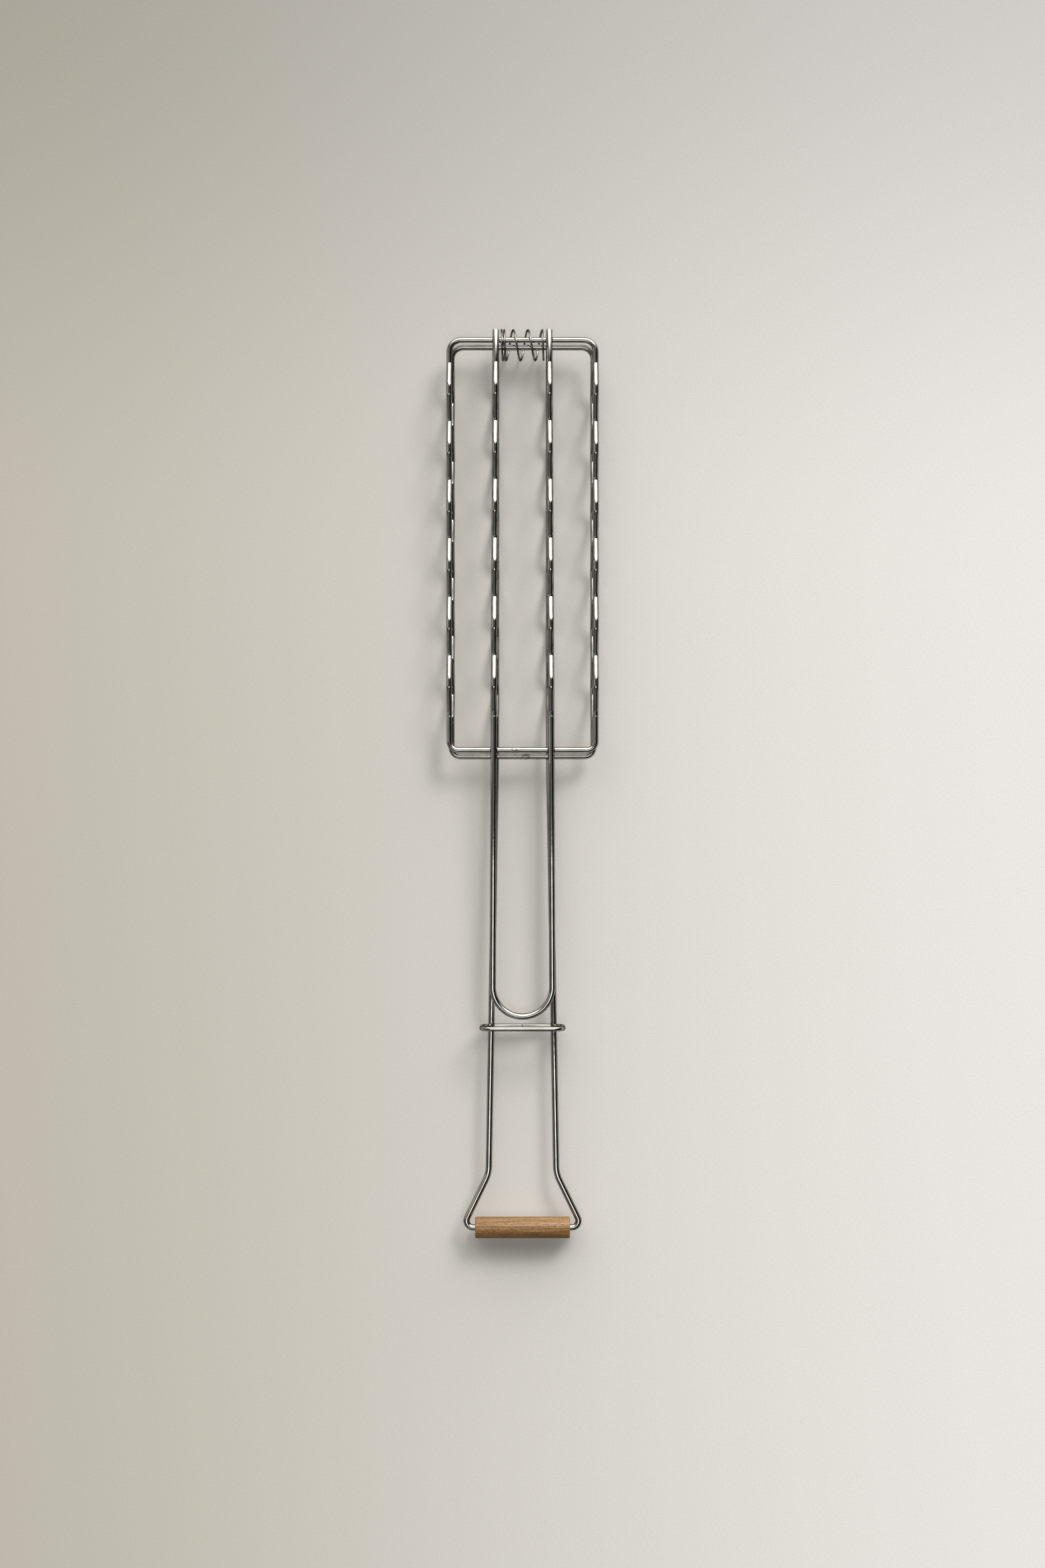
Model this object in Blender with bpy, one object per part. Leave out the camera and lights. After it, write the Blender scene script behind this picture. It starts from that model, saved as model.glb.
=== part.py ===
"""Wire grill basket: two mirrored wave grids on a coil-spring hinge, a sliding locking ring and a wooden grip.

Lengths are metres. +Y runs to the hinge end, +Z is up, and the origin is at the bottom centre of the
closed basket, which stands on the troughs of its lower bars.
"""

from math import ceil, cos, pi, radians, sin, sqrt, tan

import bmesh
import bpy
from mathutils import Vector

# Wire diameters, measured across the flats of the faceted section
LOOP_WIRE = 0.0035
BAR_WIRE = 0.0038
RING_WIRE = 0.0029
SPRING_WIRE = 0.0012

# Gap left between pieces that touch or are welded together
SEAT_GAP = 0.0003

# Waves that hold the food, all along the long wires of both grids
WAVE_COUNT = 6
WAVE_PITCH = 0.03505
WAVE_DEPTH = 0.008
CREST_RUN = 0.006
VALLEY_RUN = 0.0024
CREST_RADIUS = 0.006
VALLEY_RADIUS = 0.0028

# The two loops
UPPER_LOOP_HALF_WIDTH = 0.0438
LOWER_LOOP_HALF_WIDTH = 0.0426
HINGE_CORNER_RADIUS = 0.007
NECK_CORNER_RADIUS = 0.0052
HINGE_LEAD = 0.01432
NECK_LEAD = 0.0234
LOWER_SHIFT = 0.0038

# The bars, from axis to the middle of the basket
HINGE_BAR_OFFSET = 0.016
UPPER_NECK_BAR_OFFSET = 0.0172
LOWER_NECK_BAR_OFFSET = 0.016
UPPER_TIP = 0.0058
LOWER_TIP = 0.00235

# The handles, along Y from the lower neck crossbar, and the flare back from the grip
HANDLE_BREAK = 0.004
U_LENGTH = 0.1562
U_OFFSET = 0.018
LONG_LENGTH = 0.2832
FLARE_LENGTH = 0.0324
FLARE_OFFSET = 0.0203
FLARE_RADIUS = 0.020
HOOK_REACH = 0.0076
HOOK_RADIUS = 0.004
BREAK_RADIUS = 0.03

# The wooden grip
GRIP_LENGTH = 0.057
GRIP_DIAMETER = 0.0128
GRIP_EASE = 0.0009
GRIP_RUN_GAP = 0.00035
GRIP_FLOOR_GAP = 0.0060
GRIP_SIDES = 24

# The locking ring, at rest just past the end of the U handle
RING_SIDE_GAP = 0.003
RING_CLEARANCE = 0.0008
RING_CORNER_RADIUS = 0.006
RING_NECK_PLACE = 0.0068
RING_PARK_GAP = 0.0045

# The hinge spring
SPRING_RADIUS = 0.009
SPRING_SIDE_GAP = 0.0007
SPRING_DROP = 0.0022
SPRING_LEFT_TURNS = 1.5
SPRING_RIGHT_TURNS = 0.5
SPRING_END_PITCH = 0.0016
SPRING_ACTIVE_TURNS = 2.5
SPRING_START = 0.0
SPRING_POINTS = 10

# Facets
WIRE_SIDES = 8
ARC_STEP = radians(16.0)
STRAIGHT = radians(1.0)
SAME_POINT = 1e-6

# Heights of the wire axes, stacked from the floor upwards
LOOP_R = LOOP_WIRE / 2
BAR_R = BAR_WIRE / 2
RING_R = RING_WIRE / 2
LOWER_BAR_Z = WAVE_DEPTH + BAR_R
LOWER_LOOP_Z = LOWER_BAR_Z + BAR_R + SEAT_GAP + LOOP_R
UPPER_LOOP_Z = LOWER_LOOP_Z + LOOP_WIRE + SEAT_GAP
UPPER_BAR_Z = UPPER_LOOP_Z + LOOP_R + SEAT_GAP + BAR_R
GRIP_Z = GRIP_DIAMETER / 2 + GRIP_FLOOR_GAP

# Places along Y, with the whole length centred on the origin
SLOPE_RUN = (WAVE_PITCH - CREST_RUN - VALLEY_RUN) / 2
LOOP_LENGTH = HINGE_LEAD + WAVE_COUNT * WAVE_PITCH - VALLEY_RUN + NECK_LEAD
REACH_ABOVE = max(SPRING_RADIUS + SPRING_WIRE / 2 - SPRING_DROP, UPPER_TIP)
REACH_BELOW = LOOP_LENGTH + LOWER_SHIFT + LONG_LENGTH + GRIP_DIAMETER / 2
HINGE_Y = (REACH_BELOW - REACH_ABOVE) / 2
UPPER_NECK_Y = HINGE_Y - LOOP_LENGTH
LOWER_NECK_Y = UPPER_NECK_Y - LOWER_SHIFT
BREAK_Y = LOWER_NECK_Y - HANDLE_BREAK
U_Y = LOWER_NECK_Y - U_LENGTH
GRIP_Y = LOWER_NECK_Y - LONG_LENGTH
FLARE_Y = GRIP_Y + FLARE_LENGTH
RING_Y = U_Y - BAR_R - RING_PARK_GAP


def lower_handle_z(y):
    """Axis height of the long handle, which slopes evenly from the neck to the grip."""
    return LOWER_BAR_Z + (GRIP_Z - LOWER_BAR_Z) * (BREAK_Y - y) / (BREAK_Y - GRIP_Y)


U_Z = lower_handle_z(U_Y) + BAR_WIRE + SEAT_GAP


def upper_handle_z(y):
    """Axis height of the U handle, which slopes down until its end lies on the long handle."""
    return UPPER_BAR_Z + (U_Z - UPPER_BAR_Z) * (BREAK_Y - y) / (BREAK_Y - U_Y)


def rounded(corners, closed=False):
    """Points along a path of (corner, bend radius) pairs, with each corner turned into an arc."""
    points = []
    last = len(corners) - 1
    for i, (corner, radius) in enumerate(corners):
        if not closed and i in (0, last):
            points.append(corner)
            continue
        ahead = (corner - corners[i - 1][0]).normalized()
        onward = (corners[(i + 1) % len(corners)][0] - corner).normalized()
        turn = ahead.angle(onward)
        if radius == 0.0 or turn < STRAIGHT:
            points.append(corner)
            continue
        inward = (onward - ahead * ahead.dot(onward)).normalized()
        centre = corner - ahead * radius * tan(turn / 2) + inward * radius
        steps = ceil(turn / ARC_STEP)
        for k in range(steps + 1):
            angle = turn * k / steps
            point = centre + (ahead * sin(angle) - inward * cos(angle)) * radius
            if not points or (point - points[-1]).length > SAME_POINT:
                points.append(point)
    return points


def waves(first_y, offset_at, base_z, rise):
    """Corners of one wire's waves, from the hinge end to the neck end."""
    corners = []
    for i in range(WAVE_COUNT):
        start = first_y - i * WAVE_PITCH
        crest = start - SLOPE_RUN
        profile = (
            (start, base_z, VALLEY_RADIUS),
            (crest, base_z + rise, CREST_RADIUS),
            (crest - CREST_RUN, base_z + rise, CREST_RADIUS),
            (crest - CREST_RUN - SLOPE_RUN, base_z, VALLEY_RADIUS),
        )
        corners += [(Vector((offset_at(y), y, z)), radius) for y, z, radius in profile]
    return corners


def mirrored(corners):
    """The same corners on the other side of the basket, in the opposite order."""
    return [(Vector((-point.x, point.y, point.z)), radius) for point, radius in reversed(corners)]


def swept_wire(name, points, wire, origin, up=Vector((0.0, 0.0, 1.0)), closed=False):
    """A wire of even section along points, with a flat side of the section facing up."""
    section = wire / 2 / cos(pi / WIRE_SIDES)
    bm = bmesh.new()
    rings = []
    last = len(points) - 1
    for i, point in enumerate(points):
        before = points[i - 1] if closed or i else point
        after = points[(i + 1) % len(points)] if closed or i < last else point
        tangent = ((point - before).normalized() + (after - point).normalized()).normalized()
        high = (up - tangent * tangent.dot(up)).normalized()
        side = tangent.cross(high)
        ring = []
        for k in range(WIRE_SIDES):
            angle = 2 * pi * (k + 0.5) / WIRE_SIDES
            ring.append(bm.verts.new(point - origin + (high * cos(angle) + side * sin(angle)) * section))
        rings.append(ring)
    pairs = list(zip(rings, rings[1:]))
    if closed:
        pairs.append((rings[-1], rings[0]))
    else:
        bm.faces.new(reversed(rings[0]))
        bm.faces.new(rings[-1])
    for near, far in pairs:
        for k in range(WIRE_SIDES):
            m = (k + 1) % WIRE_SIDES
            bm.faces.new((near[k], near[m], far[m], far[k]))
    bmesh.ops.recalc_face_normals(bm, faces=bm.faces)
    return finished(name, bm, origin)


def finished(name, bm, origin):
    """A named object at its origin from a bmesh, shaded smooth up to its sharp edges."""
    mesh = bpy.data.meshes.new(name)
    bm.to_mesh(mesh)
    bm.free()
    mesh.shade_smooth()
    mesh.set_sharp_from_angle(angle=radians(50.0))
    thing = bpy.data.objects.new(name, mesh)
    thing.location = origin
    bpy.context.collection.objects.link(thing)
    return thing


def dressed(thing, colour, roughness, metallic):
    """Gives the object its own Principled material."""
    material = bpy.data.materials.new(thing.name)
    material.use_nodes = True
    shader = material.node_tree.nodes["Principled BSDF"]
    shader.inputs["Base Color"].default_value = (*colour, 1.0)
    shader.inputs["Roughness"].default_value = roughness
    shader.inputs["Metallic"].default_value = metallic
    thing.data.materials.append(material)
    return thing


def bright_steel(thing):
    """Plated steel wire, as drawn."""
    return dressed(thing, (0.60, 0.60, 0.57), 0.22, 1.0)


def loop(name, half_width, hinge_y, z, rise, origin):
    """Closed rectangle of wire whose long sides carry the waves."""
    neck_y = hinge_y - LOOP_LENGTH
    side = [
        (Vector((half_width, hinge_y, z)), HINGE_CORNER_RADIUS),
        *waves(hinge_y - HINGE_LEAD, lambda y: half_width, z, rise),
        (Vector((half_width, neck_y, z)), NECK_CORNER_RADIUS),
    ]
    points = rounded(side + mirrored(side), closed=True)
    return bright_steel(swept_wire(name, points, LOOP_WIRE, origin, closed=True))


def between(y, near, far):
    """The value at y on the straight line through two (y, value) pairs."""
    return near[1] + (far[1] - near[1]) * (near[0] - y) / (near[0] - far[0])


def upper_handle_wire(origin):
    """Two waved bars and the short U handle, bent from one wire."""

    def offset(y):
        return between(y, (HINGE_Y, HINGE_BAR_OFFSET), (UPPER_NECK_Y, UPPER_NECK_BAR_OFFSET))

    tip_y = HINGE_Y + UPPER_TIP
    neck_break = Vector((offset(BREAK_Y), BREAK_Y, UPPER_BAR_Z))
    u_corner = Vector((U_OFFSET, U_Y, upper_handle_z(U_Y)))
    # The wires run slightly apart, so this radius makes the U's two bends meet in the middle without overlap.
    u_radius = U_OFFSET / tan((u_corner - neck_break).angle(Vector((-1.0, 0.0, 0.0))) / 2)
    half = [
        (Vector((offset(tip_y), tip_y, UPPER_BAR_Z)), 0.0),
        *waves(HINGE_Y - HINGE_LEAD, offset, UPPER_BAR_Z, WAVE_DEPTH),
        (neck_break, BREAK_RADIUS),
        (u_corner, u_radius),
    ]
    points = rounded(half + mirrored(half))
    return bright_steel(swept_wire("upper_handle_wire", points, BAR_WIRE, origin))


def long_handle_offset(y):
    """Distance from the middle to the axis of the long handle's wires, above the flare."""
    return between(y, (LOWER_NECK_Y, LOWER_NECK_BAR_OFFSET), (FLARE_Y, FLARE_OFFSET))


def lower_handle_wire():
    """Two waved bars and the long handle, bent from one wire that runs through the grip."""

    def offset(y):
        return between(y, (HINGE_Y, HINGE_BAR_OFFSET), (LOWER_NECK_Y, LOWER_NECK_BAR_OFFSET))

    hinge_y = HINGE_Y - LOWER_SHIFT
    tip_y = hinge_y + LOWER_TIP
    hook_offset = GRIP_LENGTH / 2 + HOOK_REACH
    half = [
        (Vector((offset(tip_y), tip_y, LOWER_BAR_Z)), 0.0),
        *waves(hinge_y - HINGE_LEAD, offset, LOWER_BAR_Z, -WAVE_DEPTH),
        (Vector((long_handle_offset(BREAK_Y), BREAK_Y, LOWER_BAR_Z)), BREAK_RADIUS),
        (Vector((FLARE_OFFSET, FLARE_Y, lower_handle_z(FLARE_Y))), FLARE_RADIUS),
        (Vector((hook_offset, GRIP_Y, GRIP_Z)), HOOK_RADIUS),
    ]
    points = rounded(half + mirrored(half))
    return bright_steel(swept_wire("lower_handle_wire", points, BAR_WIRE, Vector()))


def hinge_spring():
    """One open coil round both hinge crossbars, hung on the upper one, with closed end turns."""
    inner = SPRING_RADIUS * cos(pi / SPRING_POINTS) - SPRING_WIRE / 2
    hang = inner - LOOP_R / cos(pi / WIRE_SIDES) - SEAT_GAP
    centre_y = HINGE_Y - SPRING_DROP
    centre_z = UPPER_LOOP_Z - sqrt(hang**2 - SPRING_DROP**2)
    half_length = HINGE_BAR_OFFSET - BAR_R / cos(pi / WIRE_SIDES) - SPRING_SIDE_GAP - SPRING_WIRE / 2
    left_end = -half_length + SPRING_LEFT_TURNS * SPRING_END_PITCH
    right_end = half_length - SPRING_RIGHT_TURNS * SPRING_END_PITCH
    turns = SPRING_LEFT_TURNS + SPRING_ACTIVE_TURNS + SPRING_RIGHT_TURNS

    def along(turn):
        if turn <= SPRING_LEFT_TURNS:
            return -half_length + turn * SPRING_END_PITCH
        if turn >= turns - SPRING_RIGHT_TURNS:
            return half_length - (turns - turn) * SPRING_END_PITCH
        done = (turn - SPRING_LEFT_TURNS) / SPRING_ACTIVE_TURNS
        return left_end + (right_end - left_end) * done

    count = round(turns * SPRING_POINTS)
    points = []
    for i in range(count + 1):
        turn = turns * i / count
        angle = SPRING_START + 2 * pi * turn
        y = centre_y + SPRING_RADIUS * cos(angle)
        z = centre_z + SPRING_RADIUS * sin(angle)
        points.append(Vector((along(turn), y, z)))
    for end, near in ((0, 1), (-1, -2)):
        out = points[end] - points[near]
        out.x = 0.0
        straight = points[end] + out.normalized() * SPRING_WIRE
        points.insert(0 if end == 0 else len(points), straight)
    print_least_gap(points)

    curve = bpy.data.curves.new("hinge_spring", "CURVE")
    curve.dimensions = "3D"
    curve.bevel_depth = SPRING_WIRE / 2
    curve.bevel_resolution = 1
    curve.use_fill_caps = True
    spline = curve.splines.new("POLY")
    spline.points.add(len(points) - 1)
    for slot, point in zip(spline.points, points):
        slot.co = (*point, 1.0)
    thing = bpy.data.objects.new("hinge_spring", curve)
    bpy.context.collection.objects.link(thing)
    return dressed(thing, (0.52, 0.52, 0.50), 0.28, 1.0)


def print_least_gap(points):
    """Prints the least gap between the spring's turns, measured on points along its axis."""
    fine = []
    for a, b in zip(points, points[1:]):
        fine += [a.lerp(b, k / 4) for k in range(4)]
    apart = 4 * SPRING_POINTS // 2
    least = min((p - q).length for i, p in enumerate(fine) for q in fine[i + apart :])
    print(f"hinge_spring least gap to itself: {1000 * (least - SPRING_WIRE):.2f} mm")


def locking_ring():
    """Oval ring round the handles, upright on the long handle's slope."""
    neck_y = LOWER_NECK_Y - RING_NECK_PLACE
    stack = upper_handle_z(neck_y) - lower_handle_z(neck_y)
    half_height = stack / 2 + BAR_R + RING_CLEARANCE + RING_R
    half_width = U_OFFSET + BAR_R + RING_SIDE_GAP + RING_R
    centre = Vector((0.0, RING_Y, lower_handle_z(RING_Y) + stack / 2))
    corners = [
        (centre + Vector((x * half_width, 0.0, z * half_height)), RING_CORNER_RADIUS)
        for x, z in ((1, 1), (1, -1), (-1, -1), (-1, 1))
    ]
    points = rounded(corners, closed=True)
    return bright_steel(swept_wire("locking_ring", points, RING_WIRE, centre, Vector((0.0, 1.0, 0.0)), True))


def wooden_grip():
    """Turned dowel, bored right through for the handle wire, with eased ends."""
    bore = (BAR_R / cos(pi / WIRE_SIDES) + GRIP_RUN_GAP) / cos(pi / GRIP_SIDES)
    radius = GRIP_DIAMETER / 2
    end = GRIP_LENGTH / 2
    profile = (
        (-end, bore),
        (-end, radius - GRIP_EASE),
        (-end + GRIP_EASE, radius),
        (end - GRIP_EASE, radius),
        (end, radius - GRIP_EASE),
        (end, bore),
    )
    bm = bmesh.new()
    verts = [bm.verts.new((x, 0.0, z)) for x, z in profile]
    edges = [bm.edges.new((verts[i - 1], verts[i])) for i in range(len(verts))]
    bmesh.ops.spin(
        bm,
        geom=verts + edges,
        axis=(1.0, 0.0, 0.0),
        cent=(0.0, 0.0, 0.0),
        angle=2 * pi,
        steps=GRIP_SIDES,
        use_merge=True,
    )
    bmesh.ops.remove_doubles(bm, verts=bm.verts, dist=1e-6)
    bmesh.ops.recalc_face_normals(bm, faces=bm.faces)
    thing = finished("wooden_grip", bm, Vector((0.0, GRIP_Y, GRIP_Z)))
    return dressed(thing, (0.43, 0.22, 0.09), 0.55, 0.0)


def pivot(name, place, pieces):
    """An empty on a joint's axis that carries the pieces built round it."""
    empty = bpy.data.objects.new(name, None)
    empty.location = place
    bpy.context.collection.objects.link(empty)
    for piece in pieces:
        piece.parent = empty
        piece.location = (0.0, 0.0, 0.0)


def main():
    """Builds the basket, closed, with the ring slid off the U handle."""
    for thing in list(bpy.data.objects):
        bpy.data.objects.remove(thing)
    hinge = Vector((0.0, HINGE_Y, UPPER_LOOP_Z))
    upper = [
        loop("upper_loop", UPPER_LOOP_HALF_WIDTH, HINGE_Y, UPPER_LOOP_Z, WAVE_DEPTH, hinge),
        upper_handle_wire(hinge),
    ]
    pivot("hinge_axis", hinge, upper)
    lower_hinge_y = HINGE_Y - LOWER_SHIFT
    loop("lower_loop", LOWER_LOOP_HALF_WIDTH, lower_hinge_y, LOWER_LOOP_Z, -WAVE_DEPTH, Vector())
    lower_handle_wire()
    hinge_spring()
    locking_ring()
    wooden_grip()
    bpy.context.view_layer.update()


main()
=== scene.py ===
"""Looks of a wire grill basket: bright plated wire, welds, a coil-spring hinge, a ring and a turned grip.

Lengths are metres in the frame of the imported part: +Y to the hinge end, +Z up, the floor at z = 0.
"""

from __future__ import annotations

import logging
from dataclasses import dataclass
from enum import Enum
from math import ceil, cos, pi, radians, sin, sqrt, tan
from typing import Callable, Sequence

import bmesh
import bpy
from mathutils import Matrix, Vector, noise

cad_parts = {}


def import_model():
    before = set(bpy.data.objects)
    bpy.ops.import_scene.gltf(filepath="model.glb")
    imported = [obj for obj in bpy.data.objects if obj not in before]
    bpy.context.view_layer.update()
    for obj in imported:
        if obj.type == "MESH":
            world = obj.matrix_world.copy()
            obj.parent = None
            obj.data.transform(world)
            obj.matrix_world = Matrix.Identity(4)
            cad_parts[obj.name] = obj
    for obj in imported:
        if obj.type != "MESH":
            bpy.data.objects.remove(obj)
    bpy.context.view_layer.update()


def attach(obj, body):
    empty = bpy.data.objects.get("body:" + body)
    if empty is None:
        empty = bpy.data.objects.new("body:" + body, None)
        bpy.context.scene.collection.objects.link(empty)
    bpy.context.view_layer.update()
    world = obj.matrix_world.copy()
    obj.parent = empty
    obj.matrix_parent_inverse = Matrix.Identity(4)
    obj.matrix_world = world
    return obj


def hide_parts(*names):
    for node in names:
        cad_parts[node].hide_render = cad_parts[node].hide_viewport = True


LOG = logging.getLogger("grill_basket")
MM = 0.001
Colour = tuple[float, float, float, float]
Corner = tuple[Vector, float]
Station = tuple[Vector, float]
Piece = bpy.types.Object
Socket = bpy.types.NodeSocket
Tree = bpy.types.NodeTree


class Body(str, Enum):
    """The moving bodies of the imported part."""

    LOWER = "lower_grid"
    UPPER = "upper_grid"
    RING = "ring"
    GRIP = "grip"


class Slot(str, Enum):
    """The record's material slots."""

    WIRE = "plated_wire"
    SPRING = "spring_wire"
    WOOD = "grip_wood"


def linear(hex_colour: str) -> Colour:
    """Turns an sRGB hex colour into linear RGBA.

    Args:
        hex_colour: Six hex digits after a hash.

    Returns:
        The linear colour with alpha 1.
    """
    parts = [int(hex_colour[i : i + 2], 16) / 255 for i in (1, 3, 5)]
    light = [c / 12.92 if c <= 0.04045 else ((c + 0.055) / 1.055) ** 2.4 for c in parts]
    return (*light, 1.0)


def add_node(
    tree: Tree,
    kind: str,
    settings: dict[str | int, object] | None = None,
    links: dict[str | int, Socket] | None = None,
) -> bpy.types.Node:
    """Adds one shader node with its settings and its links.

    Args:
        tree: The node tree that takes the node.
        kind: Blender's type name without the ShaderNode prefix.
        settings: Attribute names, or input names or numbers, to values.
        links: Input names or numbers to the sockets that feed them.

    Returns:
        The new node.
    """
    made = tree.nodes.new(f"ShaderNode{kind}")
    for key, value in (settings or {}).items():
        if isinstance(key, str) and hasattr(made, key):
            setattr(made, key, value)
        else:
            made.inputs[key].default_value = value
    for key, socket in (links or {}).items():
        tree.links.new(socket, made.inputs[key])
    return made


def ramp(
    tree: Tree,
    value: Socket,
    stops: Sequence[tuple[float, Colour]],
) -> Socket:
    """Adds a colour ramp.

    Args:
        tree: The node tree.
        value: The value that runs along the ramp.
        stops: Places from 0 to 1, in order, with their colours.

    Returns:
        The ramp's colour.
    """
    node = add_node(tree, "ValToRGB", None, {"Fac": value})
    elements = node.color_ramp.elements
    while len(elements) < len(stops):
        elements.new(0.5)
    for element, (place, colour) in zip(elements, stops):
        element.position = place
        element.color = colour
    return node.outputs["Color"]


def mottle(
    tree: Tree,
    place: Socket,
    size: float,
    detail: float,
    rough: float = 0.5,
    warp: float = 0.0,
) -> Socket:
    """Adds a noise pattern.

    Args:
        tree: The node tree.
        place: The point looked at.
        size: Size of the pattern's main features.
        detail: How many finer layers it has.
        rough: Strength of the finer layers.
        warp: How far it is distorted.

    Returns:
        The pattern's value, about 0.5 on average.
    """
    look = {"Scale": 1 / size, "Detail": detail, "Roughness": rough, "Distortion": warp}
    return add_node(tree, "TexNoise", look, {"Vector": place}).outputs["Fac"]


def between(
    tree: Tree,
    value: Socket,
    start: tuple[float, float],
    end: tuple[float, float] = (0.0, 1.0),
    smooth: bool = False,
) -> Socket:
    """Maps a value from one range to another, and holds it at the ends.

    Args:
        tree: The node tree.
        value: The value to map.
        start: The range that it comes from.
        end: The range that it goes to.
        smooth: Whether it eases in and out.

    Returns:
        The mapped value.
    """
    span = {
        "interpolation_type": "SMOOTHSTEP" if smooth else "LINEAR",
        "From Min": start[0],
        "From Max": start[1],
        "To Min": end[0],
        "To Max": end[1],
    }
    return add_node(tree, "MapRange", span, {"Value": value}).outputs["Result"]


def relief(
    tree: Tree,
    height: Socket,
    depth: float,
    strength: float,
    sunk: bool = False,
) -> Socket:
    """Adds a fine surface relief.

    Args:
        tree: The node tree.
        height: The pattern of heights.
        depth: Height of the pattern's whole range.
        strength: Share of the relief that shows.
        sunk: Whether high values are pits.

    Returns:
        The bent normal.
    """
    bump = {"Strength": strength, "Distance": depth, "invert": sunk}
    return add_node(tree, "Bump", bump, {"Height": height}).outputs["Normal"]


def feed(
    shader: bpy.types.Node,
    values: dict[str, object],
    sockets: dict[str, Socket],
) -> None:
    """Sets and links a shader's inputs.

    Args:
        shader: The Principled node.
        values: Input names to fixed values.
        sockets: Input names to the sockets that feed them.
    """
    for name, value in values.items():
        shader.inputs[name].default_value = value
    for name, socket in sockets.items():
        shader.id_data.links.new(socket, shader.inputs[name])


def new_material(name: str) -> tuple[bpy.types.Material, Tree, bpy.types.Node]:
    """Makes an empty Principled material.

    Args:
        name: The finish's name.

    Returns:
        The material, its tree and its Principled node.
    """
    material = bpy.data.materials.new(name)
    material.use_nodes = True
    tree = material.node_tree
    return material, tree, tree.nodes["Principled BSDF"]


@dataclass(frozen=True)
class PlatedWire:
    """Steel wire, drawn and bright plated: mirror-like, with a slight ripple and dull bloom in patches."""

    name: str = "bright_plated_steel"
    light: str = "#aaa8a2"
    bloom: str = "#92908a"
    edge: str = "#6c6b67"
    bloom_size: float = 9 * MM
    bloom_detail: float = 5.0
    bloom_rough: float = 0.65
    bloom_span: tuple[float, float] = (0.38, 0.72)
    polish: tuple[float, float] = (0.05, 0.13)
    polish_span: tuple[float, float] = (0.35, 0.75)
    ripple_size: float = 3.2 * MM
    ripple_detail: float = 1.0
    ripple_depth: float = 0.03 * MM
    ripple_strength: float = 0.5

    def material(self) -> bpy.types.Material:
        """Builds the material.

        Returns:
            The material.
        """
        material, tree, shader = new_material(self.name)
        place = add_node(tree, "TexCoord").outputs["Object"]
        bloom = mottle(tree, place, self.bloom_size, self.bloom_detail, self.bloom_rough)
        stops = list(zip(self.bloom_span, (linear(self.light), linear(self.bloom))))
        ripple = mottle(tree, place, self.ripple_size, self.ripple_detail)
        feed(
            shader,
            {"Metallic": 1.0, "Specular Tint": linear(self.edge)},
            {
                "Base Color": ramp(tree, bloom, stops),
                "Roughness": between(tree, bloom, self.polish_span, self.polish),
                "Normal": relief(tree, ripple, self.ripple_depth, self.ripple_strength),
            },
        )
        return material


@dataclass(frozen=True)
class WeldScale:
    """Upset weld metal: pitted steel with a brown-grey heat tint."""

    name: str = "weld_scale"
    tint: str = "#b4b1aa"
    burnt: str = "#7a766d"
    tint_span: tuple[float, float] = (0.36, 0.62)
    polish: float = 0.26
    pit_size: float = 0.5 * MM
    pit_detail: float = 4.0
    pit_rough: float = 0.7
    pit_depth: float = 0.12 * MM
    pit_strength: float = 0.6

    def material(self) -> bpy.types.Material:
        """Builds the material.

        Returns:
            The material.
        """
        material, tree, shader = new_material(self.name)
        place = add_node(tree, "TexCoord").outputs["Object"]
        grit = mottle(tree, place, self.pit_size, self.pit_detail, self.pit_rough)
        stops = list(zip(self.tint_span, (linear(self.burnt), linear(self.tint))))
        feed(
            shader,
            {"Metallic": 1.0, "Roughness": self.polish},
            {
                "Base Color": ramp(tree, grit, stops),
                "Normal": relief(tree, grit, self.pit_depth, self.pit_strength),
            },
        )
        return material


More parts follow.
